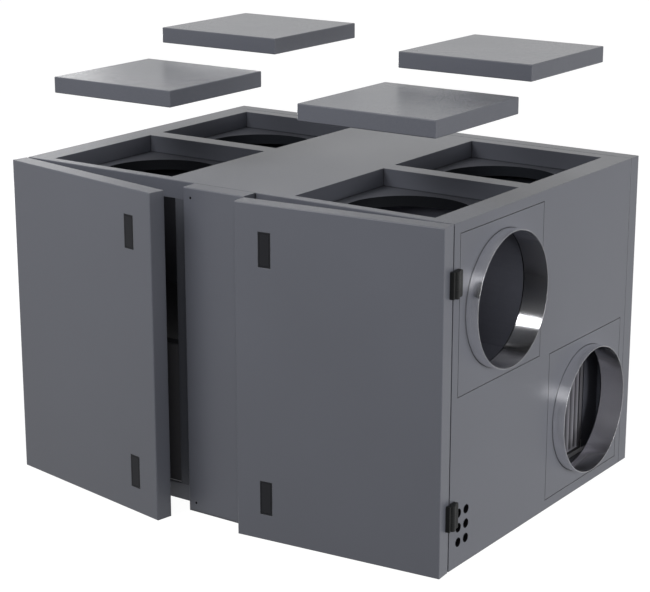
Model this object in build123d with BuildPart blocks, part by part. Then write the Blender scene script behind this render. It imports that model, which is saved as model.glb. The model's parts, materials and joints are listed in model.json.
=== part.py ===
"""Air handling unit: a sheet-steel cabinet with two hinged front doors, a fixed centre panel,
two round duct spigots on its right end, four duct openings in its roof and their lift-out covers.

Millimetres, Z up. The origin is the centre of the cabinet's underside, the front faces -Y and the
spigots stand on the +X end. The doors stand ajar and the covers hang above their openings.
"""
from build123d import *
from math import cos, floor, radians, sin
import os

# Cabinet
cabinet_length = 1556.0
cabinet_depth = 1112.0
cabinet_height = 1010.0
wall = 50.0
floor_thickness = 50.0
roof_thickness = 55.0
seam_chamfer = 1.5

# Inner walls and shelves
centre_stile_width = 376.0
bulkhead_thickness = 50.0
partition_thickness = 40.0
shelf_thickness = 16.0
shelf_height = 505.0
shelf_setback = 10.0

# Strips of the roof that frame its four openings
roof_side_rim = 82.0
roof_centre_strip = 452.0
roof_front_rim = 32.0
roof_middle_bar = 62.0
roof_back_rim = 94.0

# Duct plates under the roof openings, and the covers
duct_plate_thickness = 3.0
duct_plate_clearance = 1.0
roof_duct_radius = 192.0
roof_collar_depth = 30.0
cover_thickness = 50.0
cover_clearance = 5.0
cover_edge_chamfer = 2.0
left_front_cover_bottom = 1216.0
right_front_cover_bottom = 1226.0
back_cover_bottom = 1309.0

# Duct panels and spigots of the right end
duct_panel_opening = 470.0
duct_panel_thickness = 40.0
duct_panel_seam = 2.0
duct_panel_end_margin = 31.0
spigot_radius = 200.0
spigot_wall = 2.0
spigot_length_outside = 39.0
spigot_seat_step = 1.0
spigot_fit = 0.3
spigot_flange_width = 7.0
spigot_flange_clearance = 3.0

# Cable holes
cable_hole_radius = 12.5
cable_hole_pitch_y = 41.5
cable_hole_pitch_z = 44.0
cable_columns = 2
cable_rows = 3
cable_hole_from_front = 49.0
cable_hole_bottom = 74.0

# Front
door_gap = 5.0
door_thickness = 54.0
door_edge_radius = 3.0
centre_panel_width = 220.0
centre_panel_gap = 5.0
left_door_angle = 10.4
right_door_angle = 5.2
screw_hole_radius = 4.0
screw_hole_depth = 12.0
screw_hole_side = 27.0
screw_hole_end = 30.0

# Door latches
latch_width = 41.0
latch_height = 103.0
latch_depth = 14.0
latch_fit = 0.3
latch_from_free_edge = 99.0
latch_end_distance = 131.0
latch_border = 4.0
latch_groove_width = 1.0
latch_groove_depth = 2.0

# Hinges
hinge_height = 76.0
hinge_end_distance = 167.0
hinge_axis_offset = 11.0
hinge_leaf_thickness = 12.0
body_leaf_width = 33.0
door_leaf_width = 17.0
leaf_corner_cut = 8.0
leaf_chamfer = 5.0
knuckle_radius = 9.0
knuckle_gap = 0.5
pin_radius = 3.5
pin_fit = 0.1

# Air filters
filter_thickness = 96.0
filter_length = 417.0
filter_frame = 18.0
filter_end_clearance = 3.0
right_filter_from_end = 90.0
left_filter_from_bulkhead = 8.0
pleat_pitch = 28.0
pleat_sheet = 3.0
pleat_inset = 4.0
rail_sheet = 2.0
rail_height = 12.0
rail_fit = 0.5
blank_gap = 2.0

# Main faces
half_length = cabinet_length / 2
front = -cabinet_depth / 2
back = cabinet_depth / 2
inner_back = back - wall
inner_end = half_length - wall
roof_underside = cabinet_height - roof_thickness
stile_edge = centre_stile_width / 2
end_panel_y = (front + inner_back) / 2
end_panel_depth = inner_back - front

# Roof openings, two by two, and the duct panels, each in the middle of its half of the right end
opening_width = (cabinet_length - 2 * roof_side_rim - roof_centre_strip) / 2
opening_depth = (cabinet_depth - roof_front_rim - roof_middle_bar - roof_back_rim) / 2
opening_x = (roof_centre_strip + opening_width) / 2
front_opening_y = front + roof_front_rim + opening_depth / 2
back_opening_y = back - roof_back_rim - opening_depth / 2
partition_y = (front_opening_y + back_opening_y) / 2
partition_front = partition_y - partition_thickness / 2
partition_back = partition_y + partition_thickness / 2
panel_from_end = duct_panel_end_margin + duct_panel_opening / 2
upper_panel_centre = (end_panel_y - end_panel_depth / 4, cabinet_height - panel_from_end)
lower_panel_centre = (end_panel_y + end_panel_depth / 4, panel_from_end)

# Doors and hinges
hinge_axis_x = half_length + hinge_axis_offset
hinge_axis_y = front - door_gap / 2
door_width = half_length - centre_panel_width / 2 - centre_panel_gap

sides = {"left": -1, "right": 1}
rows = {"front": front_opening_y, "back": back_opening_y}
door_angles = {"left": left_door_angle, "right": right_door_angle}
hinge_levels = {"lower": hinge_end_distance, "upper": cabinet_height - hinge_end_distance}
latch_levels = {"lower": latch_end_distance, "upper": cabinet_height - latch_end_distance}
duct_panels = {"upper": upper_panel_centre, "lower": lower_panel_centre}
finished = []


def finish(piece, label):
    """Names a finished piece and keeps it for export."""
    piece.part.label = label
    finished.append(piece)


def slab(label, x_span, y_span, z_span):
    """A plain flat panel between three pairs of faces."""
    x0, x1 = sorted(x_span)
    y0, y1 = sorted(y_span)
    z0, z1 = sorted(z_span)
    with BuildPart() as piece:
        with BuildSketch(Plane.XY.offset(z0)):
            with Locations(((x0 + x1) / 2, (y0 + y1) / 2)):
                Rectangle(x1 - x0, y1 - y0)
        extrude(amount=z1 - z0)
    finish(piece, label)


# Floor, between the end panels and in front of the back panel
slab("floor_panel", (-inner_end, inner_end), (front, inner_back), (0, floor_thickness))

# Back panel, full length and height, with a chamfered seam towards the cabinet
with BuildPart() as back_panel:
    with BuildSketch(Plane.XZ.offset(-back)):
        with Locations((0, cabinet_height / 2)):
            Rectangle(cabinet_length, cabinet_height)
    extrude(amount=wall)
    seam_face = back_panel.faces().sort_by(Axis.Y)[0]
    chamfer(seam_face.edges().filter_by(Axis.Z) + seam_face.edges().sort_by(Axis.Z)[-1:], length=seam_chamfer)
finish(back_panel, "back_panel")

# Left end panel, plain
with BuildPart() as left_end_panel:
    with BuildSketch(Plane.YZ.offset(-half_length)):
        with Locations((end_panel_y, cabinet_height / 2)):
            Rectangle(end_panel_depth, cabinet_height)
    extrude(amount=wall)
    chamfer(left_end_panel.edges().filter_by(Axis.Z).group_by(Axis.X)[0].sort_by(Axis.Y)[-1], length=seam_chamfer)
finish(left_end_panel, "left_end_panel")

# Right end panel, with two stepped square openings and the cable holes
flange_side = 2 * (spigot_radius + spigot_flange_width)
inner_panel_opening = flange_side + 2 * spigot_flange_clearance
cable_centre_y = front + cable_hole_from_front + (cable_columns - 1) * cable_hole_pitch_y / 2
cable_centre_z = cable_hole_bottom + (cable_rows - 1) * cable_hole_pitch_z / 2
with BuildPart() as right_end_panel:
    with BuildSketch(Plane.YZ.offset(inner_end)):
        with Locations((end_panel_y, cabinet_height / 2)):
            Rectangle(end_panel_depth, cabinet_height)
        with Locations(*duct_panels.values()):
            Rectangle(inner_panel_opening, inner_panel_opening, mode=Mode.SUBTRACT)
        with Locations((cable_centre_y, cable_centre_z)):
            with GridLocations(cable_hole_pitch_y, cable_hole_pitch_z, cable_columns, cable_rows):
                Circle(cable_hole_radius, mode=Mode.SUBTRACT)
    extrude(amount=wall)
    outer_corner = right_end_panel.edges().filter_by(Axis.Z).group_by(Axis.X)[-1].sort_by(Axis.Y)[-1]
    chamfer(outer_corner, length=seam_chamfer)
    with BuildSketch(Plane.YZ.offset(half_length)):
        with Locations(*duct_panels.values()):
            Rectangle(duct_panel_opening, duct_panel_opening)
    extrude(amount=-duct_panel_thickness, mode=Mode.SUBTRACT)
finish(right_end_panel, "right_end_panel")

# Roof, between the end panels, with its four square openings
opening_pitch_y = opening_depth + roof_middle_bar
with BuildPart() as roof_panel:
    with BuildSketch(Plane.XY.offset(roof_underside)):
        with Locations((0, end_panel_y)):
            Rectangle(2 * inner_end, end_panel_depth)
        with Locations((0, partition_y)):
            with GridLocations(2 * opening_x, opening_pitch_y, 2, 2):
                Rectangle(opening_width, opening_depth, mode=Mode.SUBTRACT)
    extrude(amount=roof_thickness)
    top_edges = roof_panel.faces().sort_by(Axis.Z)[-1].edges().filter_by(Axis.X)
    chamfer([top_edges.sort_by(Axis.Y)[0], top_edges.sort_by(Axis.Y)[-1]], length=seam_chamfer)
finish(roof_panel, "roof_panel")

# Duct plates under the roof openings, each with a turned-down collar
plate_lap = (roof_middle_bar - partition_thickness) / 2 - duct_plate_clearance
plate_bottom = roof_underside - duct_plate_thickness
for row, row_y in rows.items():
    for side, sign in sides.items():
        with BuildPart() as duct_plate:
            with BuildSketch(Plane.XY.offset(plate_bottom)):
                with Locations((sign * opening_x, row_y)):
                    Rectangle(opening_width + 2 * plate_lap, opening_depth + 2 * plate_lap)
                    Circle(roof_duct_radius, mode=Mode.SUBTRACT)
            extrude(amount=duct_plate_thickness)
            with BuildSketch(Plane.XY.offset(plate_bottom)):
                with Locations((sign * opening_x, row_y)):
                    Circle(roof_duct_radius + duct_plate_thickness)
                    Circle(roof_duct_radius, mode=Mode.SUBTRACT)
            extrude(amount=-roof_collar_depth)
        finish(duct_plate, f"{side}_{row}_duct_plate")

# Covers, lifted straight above their openings
cover_width = opening_width - 2 * cover_clearance
cover_depth = opening_depth - 2 * cover_clearance
cover_bottoms = {
    "front": {"left": left_front_cover_bottom, "right": right_front_cover_bottom},
    "back": {"left": back_cover_bottom, "right": back_cover_bottom},
}
for row, row_y in rows.items():
    for side, sign in sides.items():
        with BuildPart() as cover:
            with BuildSketch(Plane.XY.offset(cover_bottoms[row][side])):
                with Locations((sign * opening_x, row_y)):
                    Rectangle(cover_width, cover_depth)
            extrude(amount=cover_thickness)
            chamfer(cover.edges(), length=cover_edge_chamfer)
        finish(cover, f"{side}_{row}_cover")

# Centre stile and the bulkheads behind it
inner_height = (floor_thickness, roof_underside)
stile_back = front + wall
slab("centre_stile", (-stile_edge, stile_edge), (front, stile_back), inner_height)
for side, sign in sides.items():
    bulkhead_x = (sign * (stile_edge - bulkhead_thickness), sign * stile_edge)
    slab(f"{side}_bulkhead", bulkhead_x, (stile_back, inner_back), inner_height)

# Partitions between the front and back chambers, and a shelf across each chamber
shelf_z = (shelf_height - shelf_thickness / 2, shelf_height + shelf_thickness / 2)
chamber_rows = {"front": (front + shelf_setback, partition_front), "back": (partition_back, inner_back)}
for side, sign in sides.items():
    chamber_x = (sign * stile_edge, sign * inner_end)
    slab(f"{side}_partition", chamber_x, (partition_front, partition_back), inner_height)
    for row, y_span in chamber_rows.items():
        slab(f"{side}_{row}_shelf", chamber_x, y_span, shelf_z)

# Duct panels that fill the square openings of the right end, and their spigots, each with a wider
# seat in the panel and a square flange behind it
panel_side = duct_panel_opening - 2 * duct_panel_seam
panel_back = half_length - duct_panel_thickness
spigot_seat_radius = spigot_radius + spigot_seat_step
for level, centre in duct_panels.items():
    with BuildPart() as duct_panel:
        with BuildSketch(Plane.YZ.offset(panel_back)):
            with Locations(centre):
                Rectangle(panel_side, panel_side)
                Circle(spigot_seat_radius + spigot_fit, mode=Mode.SUBTRACT)
        extrude(amount=duct_panel_thickness)
    finish(duct_panel, f"{level}_duct_panel")

    with BuildPart() as spigot:
        with BuildSketch(Plane.YZ.offset(panel_back)):
            with Locations(centre):
                Rectangle(flange_side, flange_side)
        extrude(amount=-spigot_wall)
        for radius, length in ((spigot_seat_radius, 0), (spigot_radius, spigot_length_outside)):
            with BuildSketch(Plane.YZ.offset(panel_back)):
                with Locations(centre):
                    Circle(radius)
            extrude(amount=duct_panel_thickness + length)
        with BuildSketch(Plane.YZ.offset(half_length + spigot_length_outside)):
            with Locations(centre):
                Circle(spigot_radius - spigot_wall)
        extrude(amount=-spigot_length_outside - duct_panel_thickness - spigot_wall, mode=Mode.SUBTRACT)
    finish(spigot, f"{level}_spigot")

# Fixed centre panel between the doors, with its four screw holes
centre_panel_thickness = door_gap + door_thickness
with BuildPart() as centre_front_panel:
    with BuildSketch(Plane.XZ.offset(-front)):
        with Locations((0, cabinet_height / 2)):
            Rectangle(centre_panel_width, cabinet_height)
    extrude(amount=centre_panel_thickness)
    fillet(centre_front_panel.faces().sort_by(Axis.Y)[0].edges(), radius=door_edge_radius)
    chamfer(centre_front_panel.faces().sort_by(Axis.Y)[-1].edges().sort_by(Axis.Z)[-1], length=seam_chamfer)
    with BuildSketch(Plane.XZ.offset(-front + centre_panel_thickness)):
        with Locations((0, cabinet_height / 2)):
            with GridLocations(centre_panel_width - 2 * screw_hole_side, cabinet_height - 2 * screw_hole_end, 2, 2):
                Circle(screw_hole_radius)
    extrude(amount=-screw_hole_depth, mode=Mode.SUBTRACT)
finish(centre_front_panel, "centre_front_panel")


def door_plane(side, outward):
    """Plane parallel to a door's face, this far in front of its hinge axis, with local x to the
    right as seen from the front, local y up and the origin level with the floor."""
    swing = radians(sides[side] * door_angles[side])
    normal = (sin(swing), -cos(swing), 0)
    origin = (
        sides[side] * hinge_axis_x + outward * normal[0],
        hinge_axis_y + outward * normal[1],
        0,
    )
    return Plane(origin=origin, x_dir=(cos(swing), sin(swing), 0), z_dir=normal)


def hinge_base(side, swing_degrees, height):
    """Horizontal plane at a hinge axis, turned with its door, with local x away from the door's
    free end and local y towards the back."""
    swing = radians(swing_degrees * sides[side])
    return Plane(
        origin=(sides[side] * hinge_axis_x, hinge_axis_y, height),
        x_dir=(cos(swing), sin(swing), 0),
        z_dir=(0, 0, 1),
    )


# Doors, their latches and their hinges
door_back = door_gap / 2
door_front = door_back + door_thickness
paddle_width = latch_width - 2 * latch_border
paddle_height = latch_height - 2 * latch_border
knuckle_height = (hinge_height - 2 * knuckle_gap) / 3
knuckle_clear = knuckle_radius + knuckle_gap
pin_bore = pin_radius + pin_fit
for side, sign in sides.items():
    latch_x = -sign * (hinge_axis_offset + door_width - latch_from_free_edge)
    latch_centres = [(latch_x, latch_z) for latch_z in latch_levels.values()]

    with BuildPart() as door:
        with BuildSketch(door_plane(side, door_back)):
            with Locations((-sign * (hinge_axis_offset + door_width / 2), cabinet_height / 2)):
                Rectangle(door_width, cabinet_height)
        extrude(amount=door_thickness)
        face_plane = door_plane(side, door_front)
        front_face = door.faces().sort_by(Axis(face_plane.origin, face_plane.z_dir))[-1]
        fillet(front_face.edges(), radius=door_edge_radius)
        with BuildSketch(face_plane):
            with Locations(*latch_centres):
                Rectangle(latch_width + 2 * latch_fit, latch_height + 2 * latch_fit)
        extrude(amount=-latch_depth, mode=Mode.SUBTRACT)
    finish(door, f"{side}_door")

    for level, latch_z in latch_levels.items():
        with BuildPart() as latch:
            with BuildSketch(door_plane(side, door_front - latch_depth)):
                with Locations((latch_x, latch_z)):
                    Rectangle(latch_width, latch_height)
            extrude(amount=latch_depth)
            with BuildSketch(door_plane(side, door_front)):
                with Locations((latch_x, latch_z)):
                    Rectangle(paddle_width, paddle_height)
                    Rectangle(
                        paddle_width - 2 * latch_groove_width,
                        paddle_height - 2 * latch_groove_width,
                        mode=Mode.SUBTRACT,
                    )
            extrude(amount=-latch_groove_depth, mode=Mode.SUBTRACT)
        finish(latch, f"{side}_{level}_latch")

    leaf_centre_x = -sign * (hinge_axis_offset - hinge_leaf_thickness / 2)
    for level, hinge_z in hinge_levels.items():
        bottom = hinge_z - hinge_height / 2
        middle_bottom = bottom + knuckle_height + knuckle_gap

        with BuildPart() as body_leaf:
            with BuildSketch(hinge_base(side, 0, bottom)):
                with Locations((leaf_centre_x, (door_gap + body_leaf_width) / 2)):
                    Rectangle(hinge_leaf_thickness, body_leaf_width)
            extrude(amount=hinge_height)
            chamfer(body_leaf.edges().filter_by(Axis.X).group_by(Axis.Y)[-1], length=leaf_corner_cut)
            back_edges = body_leaf.edges().filter_by(Axis.Z).sort_by(Axis.Y)[-2:]
            chamfer(back_edges.sort_by(Axis.X)[-1 if sign > 0 else 0], length=leaf_chamfer)
            with BuildSketch(hinge_base(side, 0, middle_bottom - knuckle_gap)):
                Rectangle(2 * hinge_leaf_thickness, 2 * knuckle_clear)
            extrude(amount=knuckle_height + 2 * knuckle_gap, mode=Mode.SUBTRACT)
            for start in (bottom, middle_bottom + knuckle_height + knuckle_gap):
                with BuildSketch(hinge_base(side, 0, start)):
                    Circle(knuckle_radius)
                extrude(amount=knuckle_height)
            with BuildSketch(hinge_base(side, 0, bottom)):
                Circle(pin_radius)
            extrude(amount=hinge_height)
        finish(body_leaf, f"{side}_{level}_hinge_body_leaf")

        swing = door_angles[side]
        with BuildPart() as door_leaf:
            with BuildSketch(hinge_base(side, swing, bottom)):
                with Locations((leaf_centre_x, -(door_gap + door_leaf_width) / 2)):
                    Rectangle(hinge_leaf_thickness, door_leaf_width)
            extrude(amount=hinge_height)
            for start in (bottom, middle_bottom + knuckle_height):
                with BuildSketch(hinge_base(side, swing, start)):
                    Rectangle(2 * hinge_leaf_thickness, 2 * knuckle_clear)
                extrude(amount=knuckle_height + knuckle_gap, mode=Mode.SUBTRACT)
            with BuildSketch(hinge_base(side, swing, middle_bottom)):
                Circle(knuckle_radius)
            extrude(amount=knuckle_height)
            with BuildSketch(hinge_base(side, swing, bottom)):
                Circle(pin_bore)
            extrude(amount=hinge_height, mode=Mode.SUBTRACT)
        finish(door_leaf, f"{side}_{level}_hinge_door_leaf")


def pleat_outline(centre_x, start_y, length, depth):
    """Corners of a folded sheet that runs along y, its folds centred on centre_x: first one face
    of the sheet, then the other on the way back."""
    folds = 2 * floor(length / pleat_pitch)
    step = length / folds
    swing = (depth - pleat_sheet) / 2
    face = [(centre_x + swing * (-1) ** k, start_y + k * step) for k in range(folds + 1)]
    return [(x + pleat_sheet / 2, y) for x, y in face] + [(x - pleat_sheet / 2, y) for x, y in reversed(face)]


# Pleated air filters in the lower chambers, upright in a rail on the floor and one under the shelf,
# with a blank from rail to rail that closes what the filter leaves of the chamber's depth
rail_width = filter_thickness + 2 * (rail_fit + rail_sheet)
filter_z0 = floor_thickness + rail_sheet
filter_z1 = shelf_z[0] - rail_sheet - rail_fit
filter_height = filter_z1 - filter_z0
pleat_depth = filter_thickness - 2 * pleat_inset
filter_places = {
    "left": (-stile_edge - left_filter_from_bulkhead - rail_width / 2, chamber_rows["front"]),
    "right": (half_length - right_filter_from_end - filter_thickness / 2, chamber_rows["back"]),
}
pleat_length = filter_length - 2 * filter_frame
for side, (filter_x, (y0, y1)) in filter_places.items():
    filter_y = y0 + filter_end_clearance + filter_length / 2
    rail_y = (y0 + y1) / 2
    rail_length = y1 - y0 - 2 * filter_end_clearance
    blank_start = filter_y + filter_length / 2 + blank_gap
    blank_end = rail_y + rail_length / 2
    with BuildPart() as air_filter:
        with BuildSketch(Plane.YZ.offset(filter_x - filter_thickness / 2)):
            with Locations((filter_y, (filter_z0 + filter_z1) / 2)):
                Rectangle(filter_length, filter_height)
                Rectangle(pleat_length, filter_height - 2 * filter_frame, mode=Mode.SUBTRACT)
        extrude(amount=filter_thickness)
        with BuildSketch(Plane.XY.offset(filter_z0 + filter_frame)):
            with BuildLine():
                Polyline(*pleat_outline(filter_x, filter_y - pleat_length / 2, pleat_length, pleat_depth), close=True)
            make_face()
        extrude(amount=filter_height - 2 * filter_frame)
    finish(air_filter, f"{side}_filter")

    with BuildPart() as filter_rails:
        for base, rise in ((floor_thickness, 1), (shelf_z[0], -1)):
            with BuildSketch(Plane.XY.offset(base)):
                with Locations((filter_x, rail_y)):
                    Rectangle(rail_width, rail_length)
            extrude(amount=rise * rail_height)
            with BuildSketch(Plane.XY.offset(base + rise * rail_sheet)):
                with Locations((filter_x, rail_y)):
                    Rectangle(rail_width - 2 * rail_sheet, rail_length)
            extrude(amount=rise * rail_height, mode=Mode.SUBTRACT)
        with BuildSketch(Plane.YZ.offset(filter_x + rail_width / 2)):
            with Locations(((blank_start + blank_end) / 2, (floor_thickness + shelf_z[0]) / 2)):
                Rectangle(blank_end - blank_start, shelf_z[0] - floor_thickness)
        extrude(amount=-rail_sheet)
    finish(filter_rails, f"{side}_filter_rails")

os.makedirs("parts", exist_ok=True)
for piece in finished:
    export_step(piece.part, f"parts/{piece.part.label}.step")
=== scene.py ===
"""Looks of the air handling unit: painted sheets, spigots, hinges, latches, filters and studio.

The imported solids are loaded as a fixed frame. Each operator below finishes one piece or one group
of like pieces, and the panel in the 3D view's sidebar lists them with their sizes and colours.
Lengths are in metres.
"""

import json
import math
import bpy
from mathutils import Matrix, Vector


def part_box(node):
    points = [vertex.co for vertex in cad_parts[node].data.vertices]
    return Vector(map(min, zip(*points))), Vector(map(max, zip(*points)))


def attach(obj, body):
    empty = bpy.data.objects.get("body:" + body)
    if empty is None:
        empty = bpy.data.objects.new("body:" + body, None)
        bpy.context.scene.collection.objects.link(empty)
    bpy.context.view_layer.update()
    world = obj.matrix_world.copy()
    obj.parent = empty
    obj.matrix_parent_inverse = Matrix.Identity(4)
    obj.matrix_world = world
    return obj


bl_info = {
    "name": "Air Handling Unit Finish",
    "version": (1, 0, 0),
    "blender": (4, 5, 0),
    "location": "View3D > Sidebar > Air Unit",
    "description": "Finishes the packed air handling unit and sets it in a plain studio",
    "category": "Object",
}

import bmesh
import bpy
from bpy.props import FloatProperty, FloatVectorProperty, PointerProperty
from mathutils import Vector

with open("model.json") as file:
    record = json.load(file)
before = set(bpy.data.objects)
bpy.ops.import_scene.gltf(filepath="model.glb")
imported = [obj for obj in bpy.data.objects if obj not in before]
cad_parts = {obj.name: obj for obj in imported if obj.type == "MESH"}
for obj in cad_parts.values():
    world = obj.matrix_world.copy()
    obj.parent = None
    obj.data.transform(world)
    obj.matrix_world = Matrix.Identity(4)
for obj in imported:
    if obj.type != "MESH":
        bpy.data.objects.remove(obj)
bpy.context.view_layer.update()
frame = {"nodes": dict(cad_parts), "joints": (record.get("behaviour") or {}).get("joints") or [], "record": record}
NODES = frame["nodes"]
JOINTS = {joint["name"]: joint for joint in frame["joints"]}
MOUNTS = {mount["name"]: mount for mount in frame["record"]["mounts"]}

SIDES = {"left": -1, "right": 1}
LEVELS = ("upper", "lower")
ROWS = ("front", "back")

# Nodes that share the cabinet's coat
CABINET_PANELS = (
    "floor_panel", "left_end_panel", "right_end_panel", "roof_panel",
    "upper_duct_panel", "lower_duct_panel",
)

# Space lined by the inner faces, which take a dark painted shade: half a millimetre into the end, floor and back
# panels, 4 mm behind the front edges and 1 mm under the roof panel
INNER_LOW = Vector((-0.7285, -0.5520, 0.0495))
INNER_HIGH = Vector((0.7285, 0.5065, 0.9540))

# Tints of wear and dust, and of painted light and shade: highlights along edges, shade in seams, a shadow at a
# spigot's inner end and light on a rail's lower strip
EDGE_WEAR_HIGHLIGHT_TINT = (0.30, 0.30, 0.31, 1.0)
DUST_TINT = (0.42, 0.41, 0.39, 1.0)
SEAM_SHADE_TINT = (0.006, 0.006, 0.007, 1.0)
RUBBED_HIGHLIGHT_TINT = (0.60, 0.60, 0.61, 1.0)
END_SHADOW_TINT = (0.020, 0.020, 0.022, 1.0)
LIT_STRIP_ZINC = (0.62, 0.62, 0.65)

# Heights of the surface patterns
COAT_RELIEF = 0.00012
DRAWN_RELIEF = 0.00003
FIBRE_RELIEF = 0.0004

# How close the drawn lines are along each axis
UPRIGHT_LINES = (6, 6, 500)
RAIL_LINES = (8, 4, 500)
SPIGOT_LINES = (700, 10, 10)
RIM_LINES = (40, 40, 40)


# Shader building

def fill_inputs(tree, node, values):
    """Sets a node's inputs to values, or links them to sockets."""
    for key, value in values.items():
        if isinstance(value, bpy.types.NodeSocket):
            tree.links.new(value, node.inputs[key])
        else:
            node.inputs[key].default_value = value


def place(tree, kind, values=None, **settings):
    """Adds a node, sets its settings and fills its inputs."""
    made = tree.nodes.new(kind)
    for key, value in settings.items():
        setattr(made, key, value)
    fill_inputs(tree, made, values or {})
    return made


def calc(tree, operation, first, second=0.0, third=0.0, clamp=False):
    """One sum on numbers; gives back its result socket."""
    return place(tree, "ShaderNodeMath", {0: first, 1: second, 2: third},
                 operation=operation, use_clamp=clamp).outputs[0]


def vector_calc(tree, operation, first, second=(0, 0, 0), third=(0, 0, 0)):
    """One sum on vectors; gives back its result socket."""
    return place(tree, "ShaderNodeVectorMath", {0: first, 1: second, 2: third},
                 operation=operation).outputs[0]


def scale_colour(tree, colour, share):
    """A colour times a number; gives back the result socket."""
    return place(tree, "ShaderNodeVectorMath", {0: colour, "Scale": share},
                 operation="SCALE").outputs[0]


def blend_colours(tree, factor, first, second):
    """Mixes two colours; gives back the result socket."""
    return place(tree, "ShaderNodeMix", {"Factor": factor, 6: first, 7: second},
                 data_type="RGBA").outputs[2]


def object_point(tree):
    """Where the surface lies on the unit."""
    return place(tree, "ShaderNodeTexCoord").outputs["Object"]


def noise(tree, where, scale, detail, roughness=0.5, output="Fac"):
    """Cloudy pattern; gives back its value, or its colour where that is asked for."""
    return place(tree, "ShaderNodeTexNoise", {
        "Vector": where, "Scale": scale, "Detail": detail, "Roughness": roughness,
    }).outputs[output]


def bump(tree, height, distance, normal=None):
    """Height to normal, over an already softened normal if one is given."""
    values = {"Height": height, "Distance": distance, "Strength": 1.0}
    if normal is not None:
        values["Normal"] = normal
    return place(tree, "ShaderNodeBump", values).outputs["Normal"]


def rgba(colour):
    """A colour with full cover added."""
    return (*colour, 1.0)


def shaded(colour, share):
    """A colour made darker or paler by a share."""
    return [min(1.0, channel * share) for channel in colour]


# Shared shader groups

COLOUR, NUMBER, DIRECTION = "NodeSocketColor", "NodeSocketFloat", "NodeSocketVector"
GREY = (0.2, 0.2, 0.2, 1.0)


def new_group(name, inputs, outputs):
    """A shared shader group with named inputs and outputs, and its two end nodes."""
    group = bpy.data.node_groups.new(name, "ShaderNodeTree")
    for label, kind, default in inputs:
        socket = group.interface.new_socket(label, in_out="INPUT", socket_type=kind)
        socket.default_value = default
    for label, kind in outputs:
        group.interface.new_socket(label, in_out="OUTPUT", socket_type=kind)
    given = group.nodes.new("NodeGroupInput").outputs
    return group, given, group.nodes.new("NodeGroupOutput").inputs


def build_coat(name):
    """Powder coat: faint cloudy shade, fine orange-peel height and uneven roughness."""
    group, given, result = new_group(name, [
        ("Colour", COLOUR, GREY), ("Cloudiness", NUMBER, 0.08), ("Cloud Size", NUMBER, 0.4),
        ("Grain Size", NUMBER, 0.0012), ("Roughness", NUMBER, 0.5), ("Unevenness", NUMBER, 0.08),
    ], [("Colour", COLOUR), ("Roughness", NUMBER), ("Height", NUMBER)])
    where = object_point(group)
    clouds = noise(group, where, calc(group, "DIVIDE", 1.0, given["Cloud Size"]), 3.0)
    grain = noise(group, where, calc(group, "DIVIDE", 1.0, given["Grain Size"]), 2.0)
    cloud_swing = calc(group, "SUBTRACT", clouds, 0.5)
    grain_swing = calc(group, "SUBTRACT", grain, 0.5)
    cloud_share = calc(group, "MULTIPLY", given["Cloudiness"], 2.0)
    shade = calc(group, "MULTIPLY_ADD", cloud_swing, cloud_share, 1.0)
    shade = calc(group, "MULTIPLY_ADD", grain_swing, 0.12, shade)
    swing = calc(group, "ADD", cloud_swing, grain_swing)
    rough = calc(group, "MULTIPLY_ADD", swing, given["Unevenness"], given["Roughness"])
    group.links.new(scale_colour(group, given["Colour"], shade), result["Colour"])
    group.links.new(rough, result["Roughness"])
    group.links.new(grain, result["Height"])
    return group


def build_edge(name):
    """Softened edges: a normal rounded over the given radius, and a mask along them of wear and painted highlight.
    """
    group, given, result = new_group(name, [("Radius", NUMBER, 0.002), ("Wear", NUMBER, 0.3)],
                                     [("Wear", NUMBER), ("Normal", DIRECTION)])
    soft = place(group, "ShaderNodeBevel", {"Radius": given["Radius"]}, samples=6).outputs["Normal"]
    sharp = place(group, "ShaderNodeNewGeometry").outputs["Normal"]
    match = place(group, "ShaderNodeVectorMath", {0: soft, 1: sharp},
                  operation="DOT_PRODUCT").outputs["Value"]
    edge = calc(group, "MULTIPLY", calc(group, "SUBTRACT", 1.0, match), 4.0, clamp=True)
    group.links.new(calc(group, "MULTIPLY", edge, given["Wear"]), result["Wear"])
    group.links.new(soft, result["Normal"])
    return group


def build_dust(name):
    """Fine dust that settles in patches on faces that look up."""
    group, given, result = new_group(name, [("Amount", NUMBER, 0.3), ("Patch Size", NUMBER, 0.15)],
                                     [("Dust", NUMBER)])
    normal = place(group, "ShaderNodeNewGeometry").outputs["Normal"]
    facing = place(group, "ShaderNodeSeparateXYZ", {0: normal}).outputs["Z"]
    flat = calc(group, "MULTIPLY", calc(group, "SUBTRACT", facing, 0.6), 2.5, clamp=True)
    patch_scale = calc(group, "DIVIDE", 1.0, given["Patch Size"])
    patch = noise(group, object_point(group), patch_scale, 6.0, roughness=0.65)
    spread = calc(group, "MULTIPLY", flat, calc(group, "MULTIPLY_ADD", patch, 0.8, 0.6))
    dust = calc(group, "MULTIPLY", spread, given["Amount"], clamp=True)
    group.links.new(dust, result["Dust"])
    return group


def build_seam_shade(name):
    """Painted shade in seams, grooves and corners, within a short reach of the facing sheet."""
    group, given, result = new_group(name, [("Reach", NUMBER, 0.004), ("Strength", NUMBER, 0.8)],
                                     [("Grime", NUMBER)])
    open_share = place(group, "ShaderNodeAmbientOcclusion", {"Distance": given["Reach"]},
                       samples=8).outputs["AO"]
    closed = calc(group, "MULTIPLY", calc(group, "SUBTRACT", 0.92, open_share), 3.0, clamp=True)
    group.links.new(calc(group, "MULTIPLY", closed, given["Strength"]), result["Grime"])
    return group


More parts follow.
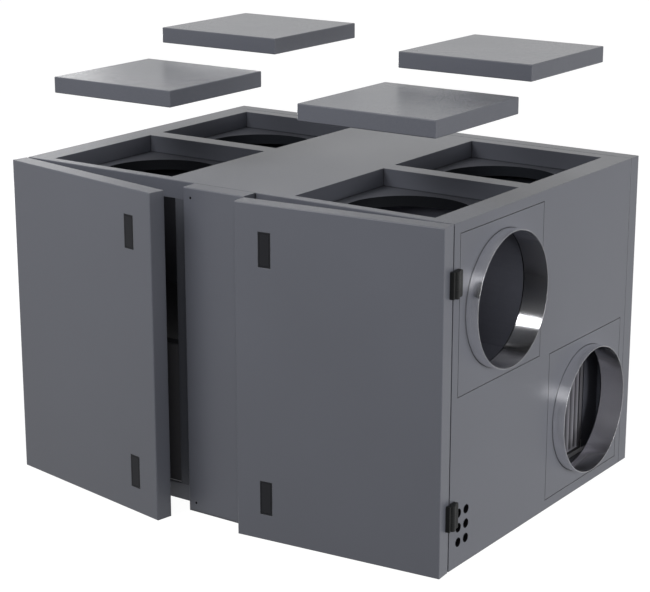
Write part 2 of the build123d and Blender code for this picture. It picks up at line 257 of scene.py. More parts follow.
def build_zone(name):
    """Mask by place: one where the surface lies within the half sizes about a centre."""
    group, given, result = new_group(name, [
        ("Centre", DIRECTION, (0, 0, 0)), ("Half Size", DIRECTION, (1, 1, 1)),
    ], [("Inside", NUMBER)])
    apart = vector_calc(group, "SUBTRACT", object_point(group), given["Centre"])
    apart = vector_calc(group, "ABSOLUTE", apart)
    room = vector_calc(group, "SUBTRACT", given["Half Size"], apart)
    along, across, up = place(group, "ShaderNodeSeparateXYZ", {0: room}).outputs
    least = calc(group, "MINIMUM", calc(group, "MINIMUM", along, across), up)
    group.links.new(calc(group, "GREATER_THAN", least, 0.0), result["Inside"])
    return group


def build_fold_shade(name):
    """Painted shade in the mouths of a pleated filter's folds: none at the crests, full from one reach below them
    to the given depth, and none again one reach past it."""
    group, given, result = new_group(name, [
        ("Centre", NUMBER, 0.0), ("Half Depth", NUMBER, 0.044), ("Reach", NUMBER, 0.012),
        ("Clean Depth", NUMBER, 0.016),
    ], [("Dirt", NUMBER)])
    where = place(group, "ShaderNodeSeparateXYZ", {0: object_point(group)}).outputs["X"]
    from_centre = calc(group, "ABSOLUTE", calc(group, "SUBTRACT", where, given["Centre"]))
    below = calc(group, "SUBTRACT", given["Half Depth"], from_centre)
    past = calc(group, "SUBTRACT", below, given["Clean Depth"])
    rise = calc(group, "DIVIDE", below, given["Reach"], clamp=True)
    fall = calc(group, "DIVIDE", past, given["Reach"], clamp=True)
    group.links.new(calc(group, "SUBTRACT", rise, fall), result["Dirt"])
    return group


def build_drawn(name):
    """Fine drawn lines of sheet steel: the stretch sets along which axes the lines are close."""
    group, given, result = new_group(name, [
        ("Stretch", DIRECTION, (900, 8, 8)), ("Strength", NUMBER, 0.3),
    ], [("Shade", NUMBER), ("Height", NUMBER)])
    pulled = vector_calc(group, "MULTIPLY", object_point(group), given["Stretch"])
    lines = noise(group, pulled, 1.0, 4.0)
    swing = calc(group, "SUBTRACT", lines, 0.5)
    group.links.new(calc(group, "MULTIPLY_ADD", swing, given["Strength"], 1.0), result["Shade"])
    group.links.new(lines, result["Height"])
    return group


def build_spangle(name):
    """Crystal pattern of hot-dip zinc: cells that differ a little in shade."""
    group, given, result = new_group(name, [
        ("Cell Size", NUMBER, 0.012), ("Strength", NUMBER, 0.1),
    ], [("Shade", NUMBER)])
    where = object_point(group)
    warp = noise(group, where, 60.0, 2.0, output="Color")
    bent = vector_calc(group, "MULTIPLY_ADD", warp, (0.006, 0.006, 0.006), where)
    cells = place(group, "ShaderNodeTexVoronoi", {
        "Vector": bent, "Scale": calc(group, "DIVIDE", 1.0, given["Cell Size"]),
    }).outputs["Color"]
    tone = place(group, "ShaderNodeSeparateColor", {0: cells}).outputs[0]
    swing = calc(group, "SUBTRACT", tone, 0.5)
    group.links.new(calc(group, "MULTIPLY_ADD", swing, given["Strength"], 1.0), result["Shade"])
    return group


GROUP_BUILDERS = {
    "Powder Coat": build_coat,
    "Soft Edge": build_edge,
    "Settled Dust": build_dust,
    "Seam Grime": build_seam_shade,
    "Zone Mask": build_zone,
    "Fold Dirt": build_fold_shade,
    "Drawn Lines": build_drawn,
    "Zinc Spangle": build_spangle,
}


def use_group(tree, name, values):
    """Places a shared group in a material, built the first time it is asked for, and gives back its
    outputs."""
    group = bpy.data.node_groups.get(name) or GROUP_BUILDERS[name](name)
    return place(tree, "ShaderNodeGroup", values, node_tree=group).outputs


def zone_mask(tree, low, high):
    """Mask of the surface that lies between two corners."""
    values = {"Centre": (low + high) / 2, "Half Size": (high - low) / 2}
    return use_group(tree, "Zone Mask", values)["Inside"]


# Materials

def new_material(name, shine=0.5):
    """An empty material with its surface shader; gives back material, tree and shader."""
    material = bpy.data.materials.new(name)
    material.use_nodes = True
    tree = material.node_tree
    shader = tree.nodes["Principled BSDF"]
    shader.inputs["Specular IOR Level"].default_value = shine
    return material, tree, shader


def coat_material(name, colour, roughness, edge_radius, dust=0.0, inner=None, shine=0.37,
                  reach=0.004):
    """Powder-coated sheet with soft lighter edges, partly worn and partly a painted highlight, and painted shade
    in its seams. The inner faces may take another colour, a painted shade, given with the lowest and highest
    corner of the space that they line."""
    material, tree, shader = new_material(name, shine)
    edge = use_group(tree, "Soft Edge", {"Radius": edge_radius, "Wear": 0.35})
    base = rgba(colour)
    # Painted shade: the inner faces take another, darker colour
    if inner:
        inner_shade_colour, low, high = inner
        base = blend_colours(tree, zone_mask(tree, low, high), base, rgba(inner_shade_colour))
    coat = use_group(tree, "Powder Coat", {"Colour": base, "Roughness": roughness})
    # Lighter edges: partly wear, partly a painted highlight
    tint = blend_colours(tree, edge["Wear"], coat["Colour"], EDGE_WEAR_HIGHLIGHT_TINT)
    if dust:
        settled = use_group(tree, "Settled Dust", {"Amount": dust})["Dust"]
        tint = blend_colours(tree, settled, tint, DUST_TINT)
    # Painted shade: darker where seams, grooves and corners close the surface in
    seam_shade = use_group(tree, "Seam Grime", {"Reach": reach})["Grime"]
    fill_inputs(tree, shader, {
        "Base Color": blend_colours(tree, seam_shade, tint, SEAM_SHADE_TINT),
        "Roughness": coat["Roughness"],
        "Normal": bump(tree, coat["Height"], COAT_RELIEF, edge["Normal"]),
    })
    return material


def steel_material(name, colour, roughness, stretch, metal=1.0, spangle=0.1, line=0.3,
                   edge_radius=0.0012, shadowed_end=None, turned=0.0):
    """Bare or zinc-coated sheet steel with drawn lines and faint crystals. The inner end of a node may have a dark
    band, a painted shadow, given with the node's name and the band's width. Steel turned about the x axis draws
    its highlights out along that axis."""
    material, tree, shader = new_material(name)
    edge = use_group(tree, "Soft Edge", {"Radius": edge_radius, "Wear": 0.2})
    drawn = use_group(tree, "Drawn Lines", {"Stretch": stretch, "Strength": line})
    crystal = use_group(tree, "Zinc Spangle", {"Strength": spangle})["Shade"]
    tint = scale_colour(tree, colour, calc(tree, "MULTIPLY", drawn["Shade"], crystal))
    # Lighter edges: partly wear, partly a painted highlight
    tint = blend_colours(tree, edge["Wear"], tint, RUBBED_HIGHLIGHT_TINT)
    # Painted shadow: a dark band along the node's inner end
    if shadowed_end:
        node, width = shadowed_end
        low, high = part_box(node)
        margin = Vector((width, 0.01, 0.01))
        end_shadow = zone_mask(tree, low - margin, Vector((low.x, high.y, high.z)) + margin)
        tint = blend_colours(tree, end_shadow, tint, END_SHADOW_TINT)
    unevenness = calc(tree, "MULTIPLY_ADD", drawn["Height"], 0.2, 0.9)
    fill_inputs(tree, shader, {
        "Base Color": tint,
        "Roughness": calc(tree, "MULTIPLY", unevenness, roughness),
        "Metallic": metal,
        "Normal": bump(tree, drawn["Height"], DRAWN_RELIEF, edge["Normal"]),
    })
    if turned:
        tangent = place(tree, "ShaderNodeTangent", direction_type="RADIAL", axis="X").outputs[0]
        fill_inputs(tree, shader, {
            "Anisotropic": turned, "Anisotropic Rotation": 0.25, "Tangent": tangent,
        })
    return material


def moulded_material(name, colour, roughness, edge_radius, shine=0.2):
    """Matt moulded plastic, rubber or coated casting with a fine grain."""
    material, tree, shader = new_material(name, shine)
    edge = use_group(tree, "Soft Edge", {"Radius": edge_radius, "Wear": 0.25})
    coat = use_group(tree, "Powder Coat", {
        "Colour": rgba(colour), "Roughness": roughness, "Grain Size": 0.0008,
        "Cloudiness": 0.15, "Cloud Size": 0.05,
    })
    # Lighter edges at three times the colour: partly wear, partly a painted highlight
    fill_inputs(tree, shader, {
        "Base Color": blend_colours(tree, edge["Wear"], coat["Colour"], rgba(shaded(colour, 3))),
        "Roughness": coat["Roughness"],
        "Normal": bump(tree, coat["Height"], COAT_RELIEF / 2, edge["Normal"]),
    })
    return material


def paper_material(name, colour, node, frame_width, pleat_inset, frame_shade_share):
    """Folded glass fibre paper with fibres and painted shade in its folds, in a darker card frame."""
    material, tree, shader = new_material(name, shine=0.1)
    low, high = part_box(node)
    half_depth = (high.x - low.x) / 2 - pleat_inset
    fold_shade = use_group(tree, "Fold Dirt", {
        "Centre": (low.x + high.x) / 2, "Half Depth": half_depth})["Dirt"]
    # The paper stops just short of the frame's sides, and tucks a little under its top and bottom
    border = Vector((pleat_inset * 0.7, frame_width + 0.0002, frame_width - 0.0005))
    paper = zone_mask(tree, low + border, high - border)
    where = object_point(tree)
    fibre = noise(tree, where, 700.0, 6.0, roughness=0.7)
    patch = noise(tree, where, 9.0, 3.0)
    tint = blend_colours(tree, patch, rgba(colour), rgba(shaded(colour, 0.72)))
    fibre_share = calc(tree, "MULTIPLY", fibre, 0.35)
    tint = blend_colours(tree, fibre_share, tint, rgba(shaded(colour, 1.5)))
    tint = blend_colours(tree, fold_shade, tint, rgba(shaded(colour, 0.2)))
    fill_inputs(tree, shader, {
        "Base Color": blend_colours(tree, paper, rgba(shaded(colour, frame_shade_share)), tint),
        "Roughness": 0.92,
        "Normal": bump(tree, fibre, FIBRE_RELIEF),
    })
    return material


def rail_material(name, colour, node, channel_height):
    """Sheet in a dark copy of the colour, with a pale zinc strip along the bottom: painted light on that strip and
    painted shade above it.
    """
    material, tree, shader = new_material(name)
    low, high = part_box(node)
    margin = Vector((0.01, 0.01, channel_height))
    # Painted light on the lower strip, painted shade on the sheet above it
    channel = zone_mask(tree, low - margin, Vector((high.x, high.y, low.z)) + margin)
    drawn = use_group(tree, "Drawn Lines", {"Stretch": RAIL_LINES, "Strength": 0.3})
    lit_zinc = scale_colour(tree, LIT_STRIP_ZINC, drawn["Shade"])
    fill_inputs(tree, shader, {
        "Base Color": blend_colours(tree, channel, rgba(shaded(colour, 0.6)), lit_zinc),
        "Roughness": calc(tree, "MULTIPLY_ADD", drawn["Height"], 0.2, 0.45),
        "Normal": bump(tree, drawn["Height"], DRAWN_RELIEF),
    })
    return material


def dress(names, material):
    """Gives solids of the frame a material through their own slots."""
    for name in names:
        solid = NODES[name]
        if not solid.material_slots:
            solid.data.materials.append(material)
        for slot in solid.material_slots:
            slot.material = material


# Shapes

def new_piece(name, body, material, mesh_builder, smooth=True):
    """A new piece from mesh code that rides on a body."""
    built = bmesh.new()
    mesh_builder(built)
    bmesh.ops.recalc_face_normals(built, faces=built.faces)
    mesh = bpy.data.meshes.new(name)
    built.to_mesh(mesh)
    built.free()
    for face in mesh.polygons:
        face.use_smooth = smooth
    mesh.materials.append(material)
    piece = bpy.data.objects.new(name, mesh)
    bpy.context.scene.collection.objects.link(piece)
    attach(piece, body)
    return piece


def add_band(built, first, second):
    """Fills the band between two closed rings of as many points."""
    for step in range(len(first)):
        after = (step + 1) % len(first)
        built.faces.new((first[step], first[after], second[after], second[step]))


def add_turned(built, profile, origin, segments):
    """Turns a closed profile of (along, radius) points about the x axis through the origin."""
    rings = []
    for along, radius in profile:
        ring = []
        for step in range(segments):
            angle = 2 * math.pi * step / segments
            point = Vector((along, radius * math.sin(angle), -radius * math.cos(angle)))
            ring.append(built.verts.new(origin + point))
        rings.append(ring)
    for index, ring in enumerate(rings):
        add_band(built, rings[index - 1], ring)


def add_frame_strip(built, corners, profile, outward):
    """Runs a closed profile of (in, out) points round a rectangle with mitred corners."""
    count = len(corners)
    loops = []
    for index, corner in enumerate(corners):
        before, after = corners[index - 1], corners[(index + 1) % count]
        inward = (after - corner).normalized() + (before - corner).normalized()
        loops.append([built.verts.new(corner + inward * into + outward * out)
                      for into, out in profile])
    for index, loop in enumerate(loops):
        add_band(built, loops[index - 1], loop)


def add_socket_head(built, centre, radius, height, depth, segments=24):
    """Dished screw head with a hexagon socket, facing -y."""
    apothem = radius * 0.5
    sixth = math.radians(60)

    def ring(size, out, hexagon=False):
        verts = []
        for step in range(segments):
            angle = 2 * math.pi * step / segments
            reach = size
            if hexagon:
                reach = size / math.cos((angle + sixth / 2) % sixth - sixth / 2)
            point = Vector((reach * math.cos(angle), -out, reach * math.sin(angle)))
            verts.append(built.verts.new(centre + point))
        return verts

    rings = [
        ring(radius, 0.0), ring(radius, height * 0.55), ring(radius * 0.93, height * 0.85),
        ring(radius * 0.78, height), ring(apothem, height, True),
        ring(apothem, height - depth, True),
    ]
    for first, second in zip(rings, rings[1:]):
        add_band(built, first, second)
    built.faces.new(rings[0])
    built.faces.new(rings[-1])


# Settings

class AirUnitColours(bpy.types.PropertyGroup):
    """Colours of the unit's finishes and of its painted shade"""
    paint: FloatVectorProperty(
        name="Cabinet Paint", description="Colour of the powder coat",
        subtype="COLOR", size=3, min=0, max=1, default=(0.106, 0.1115, 0.1335))
    # Painted shade on the cabinet's inner faces
    inner: FloatVectorProperty(
        name="Inner Faces", description="Colour of the cabinet's inner faces",
        subtype="COLOR", size=3, min=0, max=1, default=(0.039, 0.042, 0.052))
    # Painted shade inside the collars under the roof openings
    collar: FloatVectorProperty(
        name="Duct Collars", description="Colour inside the collars under the roof openings",
        subtype="COLOR", size=3, min=0, max=1, default=(0.0036, 0.0040, 0.0050))
    sheet: FloatVectorProperty(
        name="Inner Sheets", description="Colour of shelves, partitions and bulkheads",
        subtype="COLOR", size=3, min=0, max=1, default=(0.083, 0.086, 0.108))
    spigot: FloatVectorProperty(
        name="Spigot Steel", description="Colour of the spigots",
        subtype="COLOR", size=3, min=0, max=1, default=(0.83, 0.83, 0.86))
    latch: FloatVectorProperty(
        name="Latch Plastic", description="Colour of the door latches",
        subtype="COLOR", size=3, min=0, max=1, default=(0.010, 0.0105, 0.013))
    hinge: FloatVectorProperty(
        name="Hinge Coat", description="Colour of the hinges",
        subtype="COLOR", size=3, min=0, max=1, default=(0.0085, 0.0092, 0.0092))
    screw: FloatVectorProperty(
        name="Screw Coat", description="Colour of the centre panel's screws",
        subtype="COLOR", size=3, min=0, max=1, default=(0.004, 0.004, 0.004))
    rubber: FloatVectorProperty(
        name="Rubber", description="Colour of gaskets and grommets",
        subtype="COLOR", size=3, min=0, max=1, default=(0.005, 0.005, 0.006))
    medium: FloatVectorProperty(
        name="Filter Paper", description="Colour of the folded filter paper",
        subtype="COLOR", size=3, min=0, max=1, default=(0.71, 0.70, 0.77))


class AirUnitSizes(bpy.types.PropertyGroup):
    """Sizes of the unit's small trim"""
    edge_radius: FloatProperty(
        name="Edge Softness", description="Radius over which sheet edges look rounded",
        unit="LENGTH", min=0, max=0.01, default=0.0022)
    rim_radius: FloatProperty(
        name="Rim Bead", description="Radius of the bead on a spigot's rim",
        unit="LENGTH", min=0.0005, max=0.005, default=0.0008)
    seal_width: FloatProperty(
        name="Spigot Seal", description="Width of the seal round a spigot's foot",
        unit="LENGTH", min=0.0005, max=0.01, default=0.0010)
    gasket_width: FloatProperty(
        name="Gasket Width", description="Width of the door gaskets",
        unit="LENGTH", min=0.004, max=0.03, default=0.012)
    gasket_height: FloatProperty(
        name="Gasket Height", description="How far the gaskets stand off the doors",
        unit="LENGTH", min=0.001, max=0.005, default=0.0044)
    gasket_inset: FloatProperty(
        name="Gasket Inset", description="Distance of the gaskets from the doors' edges",
        unit="LENGTH", min=0.01, max=0.1, default=0.022)
    screw_radius: FloatProperty(
        name="Screw Head", description="Radius of the centre panel's screw heads",
        unit="LENGTH", min=0.001, max=0.0039, default=0.0036)


class AirUnitStudio(bpy.types.PropertyGroup):
    """Strengths of the studio's lights and the shade of its floor"""
    world: FloatProperty(
        name="World Light", description="Strength of the even light from all round",
        min=0, max=2, default=0.26)
    key: FloatProperty(
        name="Key Light", description="Power of the light at the front left",
        unit="POWER", min=0, max=1000, default=68)
    fill: FloatProperty(
        name="Fill Light", description="Power of the light at the front right",
        unit="POWER", min=0, max=1000, default=80)
    end: FloatProperty(
        name="End Light", description="Power of the light at the spigot end",
        unit="POWER", min=0, max=1000, default=105)
    back: FloatProperty(
        name="Back Light", description="Power of the light at the back left",
        unit="POWER", min=0, max=1000, default=50)
    rim: FloatProperty(
        name="Rim Light", description="Power of the light that glances off the roof's left rim",
        unit="POWER", min=0, max=1000, default=11)
    floor: FloatProperty(
        name="Floor Shade", description="How pale the floor is under the lamps",
        min=0, max=1, default=0.14)


def settings():
    """The colours, sizes and studio values of the scene."""
    scene = bpy.context.scene
    return scene.air_unit_colours, scene.air_unit_sizes, scene.air_unit_studio


# Pieces

class AIRUNIT_OT_camera(bpy.types.Operator):
    """Sets the camera at the viewing angle of the picture"""
    bl_idname = "airunit.camera"
    bl_label = "Set Camera"

    def execute(self, context):
        focal_pixels, width_pixels = 1901.98, 650
        azimuth, elevation = math.radians(34.922), math.radians(15.808)
        lens = bpy.data.cameras.new("picture_camera")
        lens.sensor_width = 36.0
        lens.sensor_fit = "HORIZONTAL"
        lens.lens = lens.sensor_width * focal_pixels / width_pixels
        lens.clip_end = 200.0
        camera = bpy.data.objects.new("picture_camera", lens)
        camera.location = (3.32788, -4.81633, 2.21228)
        camera.rotation_euler = (math.pi / 2 - elevation, 0.0, azimuth)
        context.scene.collection.objects.link(camera)
        context.scene.camera = camera
        return {"FINISHED"}


class AIRUNIT_OT_cabinet(bpy.types.Operator):
    """Coats the cabinet's panels in grey powder coat, with painted shade on the inner faces and the stile"""
    bl_idname = "airunit.cabinet"
    bl_label = "Coat Cabinet"

    def execute(self, context):
        colours, sizes, _ = settings()
        paint, edge_radius = colours.paint, sizes.edge_radius
        # The centre panel's longer reach paints shade down its screw holes
        coat = coat_material("centre_panel_coat", paint, 0.38, edge_radius, dust=0.05, reach=0.012)
        dress(["centre_front_panel"], coat)
        # The stile takes a darker copy of the cabinet paint: painted shade in the gap between the doors
        dress(["centre_stile"], coat_material("stile_coat", shaded(paint, 0.59), 0.5, 0.001))
        lining = (colours.inner, INNER_LOW, INNER_HIGH)
        coat = coat_material("cabinet_coat", paint, 0.36, edge_radius, dust=0.05, inner=lining)
        dress(CABINET_PANELS, coat)
        # The back panel's inner faces take a paler copy of the inner shade, painted light in the back chambers
        lining = (shaded(colours.inner, 2.5), INNER_LOW, INNER_HIGH)
        coat = coat_material("back_panel_coat", paint, 0.36, edge_radius, dust=0.05, inner=lining)
        dress(["back_panel"], coat)
        return {"FINISHED"}


class AIRUNIT_OT_covers(bpy.types.Operator):
    """Coats the four lift-out covers, with dust on their tops"""
    bl_idname = "airunit.covers"
    bl_label = "Coat Covers"

    def execute(self, context):
        colours, sizes, _ = settings()
        coat = coat_material("cover_coat", colours.paint, 0.28, sizes.edge_radius, dust=0.03,
                             shine=0.26)
        dress([f"{side}_{row}_cover" for side in SIDES for row in ROWS], coat)
        return {"FINISHED"}


def door_frame(side):
    """Hinge axis, direction to the free edge and outward direction of a door at rest."""
    joint = JOINTS[f"{side}_door_hinge"]
    swing = -math.radians(joint["range_deg"][0]) * SIDES[side]
    free = Vector((math.cos(swing), math.sin(swing), 0.0)) * -SIDES[side]
    outward = Vector((math.sin(swing), -math.cos(swing), 0.0))
    return Vector(joint["pos_m"]), free, outward


class AIRUNIT_OT_doors(bpy.types.Operator):
    """Coats the doors and lays a rubber gasket round each door's back"""
    bl_idname = "airunit.doors"
    bl_label = "Finish Doors"

    def execute(self, context):
        colours, sizes, _ = settings()
        coat = coat_material("door_coat", colours.paint, 0.38, sizes.edge_radius, dust=0.08)
        dress([f"{side}_door" for side in SIDES], coat)
        rubber = moulded_material("gasket_rubber", colours.rubber, 0.75, 0.0006)

        # From the hinge axis outwards to the door's back and along to its edge, and the door's width
        back_offset, edge_offset, door_width = 0.0025, 0.011, 0.663
        inset = sizes.gasket_inset
        near, far = edge_offset + inset, edge_offset + door_width - inset
        low, high = inset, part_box("left_door")[1].z - inset
        half, rise = sizes.gasket_width / 2, -sizes.gasket_height
        section = [
            (-half, 0.0), (-half, rise * 0.55), (-half * 0.7, rise * 0.9), (-half * 0.25, rise),
            (half * 0.25, rise), (half * 0.7, rise * 0.9), (half, rise * 0.55), (half, 0.0),
        ]
        for side in SIDES:
            axis, free, outward = door_frame(side)
            corners = [axis + free * along + outward * back_offset + Vector((0, 0, level))
                       for along, level in ((near, low), (far, low), (far, high), (near, high))]
            new_piece(f"{side}_door_gasket", f"{side}_door", rubber,
                      lambda built: add_frame_strip(built, corners, section, outward))
        return {"FINISHED"}


class AIRUNIT_OT_latches(bpy.types.Operator):
    """Gives the flush door latches their matt black moulding"""
    bl_idname = "airunit.latches"
    bl_label = "Finish Latches"

    def execute(self, context):
        colours, _, _ = settings()
        moulding = moulded_material("latch_moulding", colours.latch, 0.55, 0.0006, shine=0.15)
        dress([f"{side}_{level}_latch" for side in SIDES for level in LEVELS], moulding)
        return {"FINISHED"}


class AIRUNIT_OT_hinges(bpy.types.Operator):
    """Gives the hinges their satin black coat"""
    bl_idname = "airunit.hinges"
    bl_label = "Finish Hinges"

    def execute(self, context):
        colours, _, _ = settings()
        coat = moulded_material("hinge_coat", colours.hinge, 0.5, 0.0016, shine=0.15)
        dress([f"{side}_{level}_hinge_{leaf}_leaf"
               for side in SIDES for level in LEVELS for leaf in ("body", "door")], coat)
        return {"FINISHED"}


class AIRUNIT_OT_spigots(bpy.types.Operator):
    """Finishes the two spigots in sheet steel with a rolled rim and a seal at the foot"""
    bl_idname = "airunit.spigots"
    bl_label = "Finish Spigots"

    def execute(self, context):
        colours, sizes, _ = settings()
        seal = moulded_material("spigot_seal_rubber", shaded(colours.rubber, 9), 0.7, 0.0004)
        bead, width = sizes.rim_radius, sizes.seal_width
        segments, bead_steps, sunk = 128, 12, 0.0004

        # Share of the steel's colour, how far its highlights are drawn out, and the rim's share. The lower
        # spigot's steel is a darker copy of the upper's, and the rims far darker copies: painted shade
        finishes = {"upper": (0.97, 0.8, 0.20), "lower": (0.94, 0.6, 0.27)}
        for level, (share, turned, rim_shade_share) in finishes.items():
            node = f"{level}_spigot"
            steel = steel_material(
                f"{level}_spigot_steel", shaded(colours.spigot, share), 0.19, SPIGOT_LINES,
                spangle=0.04, line=0.2, edge_radius=0.0004, shadowed_end=(node, 0.003), turned=turned)
            dress([node], steel)

            low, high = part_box(node)
            centre = (low + high) / 2
            radius = MOUNTS[f"{level}_spigot_duct"]["dims"]["r_mm"] / 1000
            rim_steel = steel_material(f"{level}_rim_steel", shaded(colours.spigot, rim_shade_share), 0.6,
                                       RIM_LINES)
            turns = [2 * math.pi * step / bead_steps for step in range(bead_steps)]
            sheet_middle = radius - 0.001
            rim = [(bead * math.cos(turn), sheet_middle + bead * math.sin(turn)) for turn in turns]
            mouth = Vector((high.x, centre.y, centre.z))
            new_piece(f"{level}_spigot_rim", "cabinet", rim_steel,
                      lambda built: add_turned(built, rim, mouth, segments))

            fillet = [
                (-sunk, radius), (width, radius), (width * 0.75, radius + width * 0.35),
                (width * 0.35, radius + width * 0.75), (sunk / 2, radius + width),
                (-sunk, radius + width),
            ]
            foot = Vector((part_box(f"{level}_duct_panel")[1].x, centre.y, centre.z))
            new_piece(f"{level}_spigot_seal", "cabinet", seal,
                      lambda built: add_turned(built, fillet, foot, segments))
        return {"FINISHED"}


class AIRUNIT_OT_sheets(bpy.types.Operator):
    """Finishes the duct plates under the roof openings and the sheets inside the cabinet, with painted shade on
    the plates and the darker sheets
    """
    bl_idname = "airunit.sheets"
    bl_label = "Finish Inner Sheets"

    def execute(self, context):
        colours, _, _ = settings()
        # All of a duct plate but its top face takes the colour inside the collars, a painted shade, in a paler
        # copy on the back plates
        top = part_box("left_front_duct_plate")[1].z - 0.0007
        below_top = Vector((-1, -1, 0)), Vector((1, 1, top))
        for row, share in (("front", 2.4), ("back", 5.5)):
            coat = coat_material(
                f"{row}_duct_plate_coat", shaded(colours.paint, 0.8), 0.55, 0.0008, dust=0.03,
                inner=(shaded(colours.collar, share), *below_top), shine=0.08)
            dress([f"{side}_{row}_duct_plate" for side in SIDES], coat)
        # The left sheets take a darker copy of the sheet colour, and the left front shelf a darker copy again:
        # painted shade
        for side, share in (("left", 0.3), ("right", 1.0)):
            coat = steel_material(f"{side}_inner_sheet_coat", shaded(colours.sheet, share), 0.55,
                                  UPRIGHT_LINES, metal=0.0, spangle=0.05)
            dress([f"{side}_{name}" for name in ("bulkhead", "partition", "back_shelf")], coat)
            coat = steel_material(f"{side}_front_shelf_coat", shaded(colours.sheet, share ** 2),
                                  0.55, UPRIGHT_LINES, metal=0.0, spangle=0.05)
            dress([f"{side}_front_shelf"], coat)
        return {"FINISHED"}


class AIRUNIT_OT_filters(bpy.types.Operator):
    """Finishes the pleated filters and their rails"""
    bl_idname = "airunit.filters"
    bl_label = "Finish Filters"

    def execute(self, context):
        colours, _, _ = settings()
        frame_width, pleat_inset, channel_height = 0.018, 0.004, 0.0122
        # The left filter's frame takes a darker copy of the paper colour than the right's: painted shade
        for side, frame_shade_share in (("left", 0.10), ("right", 0.13)):
            name = f"{side}_filter"
            dress([name], paper_material(f"{name}_paper", colours.medium, name, frame_width,
                                         pleat_inset, frame_shade_share))
            dress([f"{name}_rails"], rail_material(f"{name}_rail_sheet", colours.sheet,
                                                   f"{name}_rails", channel_height))
        return {"FINISHED"}


class AIRUNIT_OT_screws(bpy.types.Operator):
    """Sets a socket screw at the bottom of each hole of the centre panel"""
    bl_idname = "airunit.screws"
    bl_label = "Set Panel Screws"

    def execute(self, context):
        colours, sizes, _ = settings()
        coat = moulded_material("screw_coat", colours.screw, 0.6, 0.0003, shine=0.1)
        low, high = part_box("centre_front_panel")
        hole_side, hole_end, hole_depth = 0.027, 0.030, 0.012
        head_height, socket_depth = 0.004, 0.0022
        for side, x in (("left", low.x + hole_side), ("right", high.x - hole_side)):
            for level, z in (("lower", low.z + hole_end), ("upper", high.z - hole_end)):
                seat = Vector((x, low.y + hole_depth, z))
                new_piece(f"{side}_{level}_panel_screw", "cabinet", coat,
                          lambda built: add_socket_head(built, seat, sizes.screw_radius,
                                                        head_height, socket_depth), smooth=False)
        return {"FINISHED"}


class AIRUNIT_OT_grommets(bpy.types.Operator):
    """Lines the six cable holes with thin black grommets, darker than the other rubber as painted shade"""
    bl_idname = "airunit.grommets"
    bl_label = "Set Cable Grommets"

    def execute(self, context):
        colours, _, _ = settings()
        # The grommets take a darker copy of the rubber: painted shade in the holes
        rubber = moulded_material("grommet_rubber", shaded(colours.rubber, 0.3), 0.9, 0.0004,
                                  shine=0.05)
        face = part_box("right_end_panel")[1].x
        wall, clearance, lip, crown, depth = 0.0014, 0.00005, 0.0012, 0.0010, 0.049
        for name, mount in MOUNTS.items():
            if not name.startswith("cable_hole_"):
                continue
            _, y, z = mount["pos_m"]
            bore = mount["dims"]["r_mm"] / 1000
            profile = [
                (crown * 0.6, bore - wall), (crown, bore - lip / 3),
                (crown * 0.6, bore + lip * 2 / 3), (0.0, bore + lip), (0.0, bore - clearance),
                (-depth, bore - clearance), (-depth, bore - wall),
            ]
            mouth = Vector((face, y, z))
            new_piece(name.replace("hole", "grommet"), "cabinet", rubber,
                      lambda built: add_turned(built, profile, mouth, 40))
        return {"FINISHED"}


# Studio

# Lamps: width, height, azimuth from the front towards the spigot end, elevation, distance, aim
LAMPS = {
    "key": (1.7, 1.7, -24.0, 45.0, 3.8, (0.0, -0.3, 0.65)),
    "fill": (2.0, 2.0, 28.0, 30.0, 5.5, (0.0, 0.0, 0.6)),
    "end": (2.4, 1.5, 95.0, 3.0, 5.0, (0.0, 0.0, 0.55)),
    "back": (2.4, 0.7, 222.0, 2.0, 4.5, (0.0, 0.0, 0.45)),
    "rim": (1.5, 1.0, 228.0, 10.0, 6.4, (-0.8, -0.3, 1.0)),
}


def add_lamp(name, power, width, height, azimuth, elevation, distance, aim):
    """A soft rectangular lamp that looks at a point of the unit."""
    lamp = bpy.data.lights.new(name, "AREA")
    lamp.energy = power
    lamp.shape = "RECTANGLE"
    lamp.size = width
    lamp.size_y = height
    turn, rise = math.radians(azimuth), math.radians(elevation)
    away = Vector((math.sin(turn) * math.cos(rise), -math.cos(turn) * math.cos(rise),
                   math.sin(rise)))
    made = bpy.data.objects.new(name, lamp)
    made.location = Vector(aim) + away * distance
    made.rotation_euler = away.to_track_quat("Z", "Y").to_euler()
    bpy.context.scene.collection.objects.link(made)


def seen_rays(tree):
    """One for rays from the camera, a reflection or glass, for which the stage is white."""
    path = place(tree, "ShaderNodeLightPath").outputs
    seen = calc(tree, "MAXIMUM", path["Is Camera Ray"], path["Is Glossy Ray"])
    return calc(tree, "MAXIMUM", seen, path["Is Transmission Ray"])


def floor_material(tone):
    """Matt floor that glows white where it is seen, and takes the unit's faint shadow."""
    material, tree, shader = new_material("studio_floor", shine=0.1)
    clouds = noise(tree, object_point(tree), 1.5, 3.0)
    fill_inputs(tree, shader, {
        "Base Color": blend_colours(tree, clouds, rgba([tone] * 3), rgba([tone * 1.04] * 3)),
        "Roughness": 0.9,
        "Emission Strength": 0.95,
        "Emission Color": blend_colours(tree, seen_rays(tree), rgba([0] * 3), rgba([1] * 3)),
    })
    return material


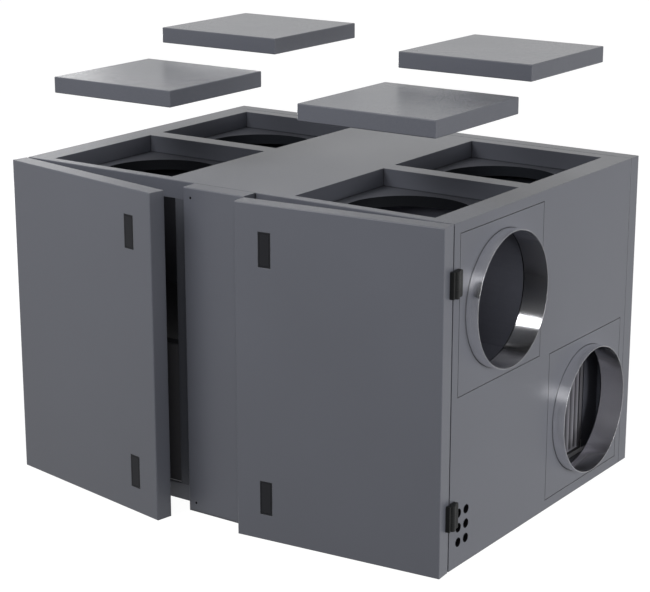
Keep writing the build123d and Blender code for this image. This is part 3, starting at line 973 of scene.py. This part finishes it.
class AIRUNIT_OT_stage(bpy.types.Operator):
    """Lays the pale floor and hangs the studio lamps and the even world light"""
    bl_idname = "airunit.stage"
    bl_label = "Set Stage"

    def execute(self, context):
        _, _, studio = settings()
        scene = context.scene
        scene.view_settings.view_transform = "Standard"

        floor_reach, floor_drop = 40.0, 0.0005
        built = bmesh.new()
        bmesh.ops.create_grid(built, x_segments=8, y_segments=8, size=floor_reach)
        mesh = bpy.data.meshes.new("studio_floor")
        built.to_mesh(mesh)
        built.free()
        mesh.materials.append(floor_material(studio.floor))
        floor = bpy.data.objects.new("studio_floor", mesh)
        floor.location.z = -floor_drop
        scene.collection.objects.link(floor)

        world = bpy.data.worlds.new("studio_world")
        scene.world = world
        world.use_nodes = True
        sky = world.node_tree
        strength = calc(sky, "MULTIPLY_ADD", seen_rays(sky), 1.0 - studio.world, studio.world)
        fill_inputs(sky, sky.nodes["Background"], {"Color": rgba([1] * 3), "Strength": strength})

        for name, measures in LAMPS.items():
            add_lamp(f"{name}_lamp", getattr(studio, name), *measures)
        return {"FINISHED"}


OPERATORS = (
    AIRUNIT_OT_camera, AIRUNIT_OT_cabinet, AIRUNIT_OT_covers, AIRUNIT_OT_doors,
    AIRUNIT_OT_latches, AIRUNIT_OT_hinges, AIRUNIT_OT_spigots, AIRUNIT_OT_sheets,
    AIRUNIT_OT_filters, AIRUNIT_OT_screws, AIRUNIT_OT_grommets, AIRUNIT_OT_stage,
)


class AIRUNIT_PT_sidebar(bpy.types.Panel):
    """Lists the settings and the finishing steps of the air handling unit"""
    bl_idname = "AIRUNIT_PT_sidebar"
    bl_label = "Air Handling Unit"
    bl_space_type = "VIEW_3D"
    bl_region_type = "UI"
    bl_category = "Air Unit"

    def draw(self, context):
        column = self.layout.column()
        for group in settings():
            for name in group.__annotations__:
                column.prop(group, name)
        for operator in OPERATORS:
            column.operator(operator.bl_idname)


GROUPS = {
    "air_unit_colours": AirUnitColours,
    "air_unit_sizes": AirUnitSizes,
    "air_unit_studio": AirUnitStudio,
}
CLASSES = (*GROUPS.values(), *OPERATORS, AIRUNIT_PT_sidebar)


def register():
    """Registers the classes and hangs the settings on the scene."""
    for made_class in CLASSES:
        bpy.utils.register_class(made_class)
    for name, group in GROUPS.items():
        setattr(bpy.types.Scene, name, PointerProperty(type=group))


def unregister():
    """Takes the settings off the scene and the classes out again."""
    for name in GROUPS:
        delattr(bpy.types.Scene, name)
    for made_class in reversed(CLASSES):
        bpy.utils.unregister_class(made_class)


def main():
    """Finishes the unit step by step."""
    register()
    for operator in OPERATORS:
        prefix, name = operator.bl_idname.split(".")
        getattr(getattr(bpy.ops, prefix), name)()


if __name__ == "__main__":
    main()
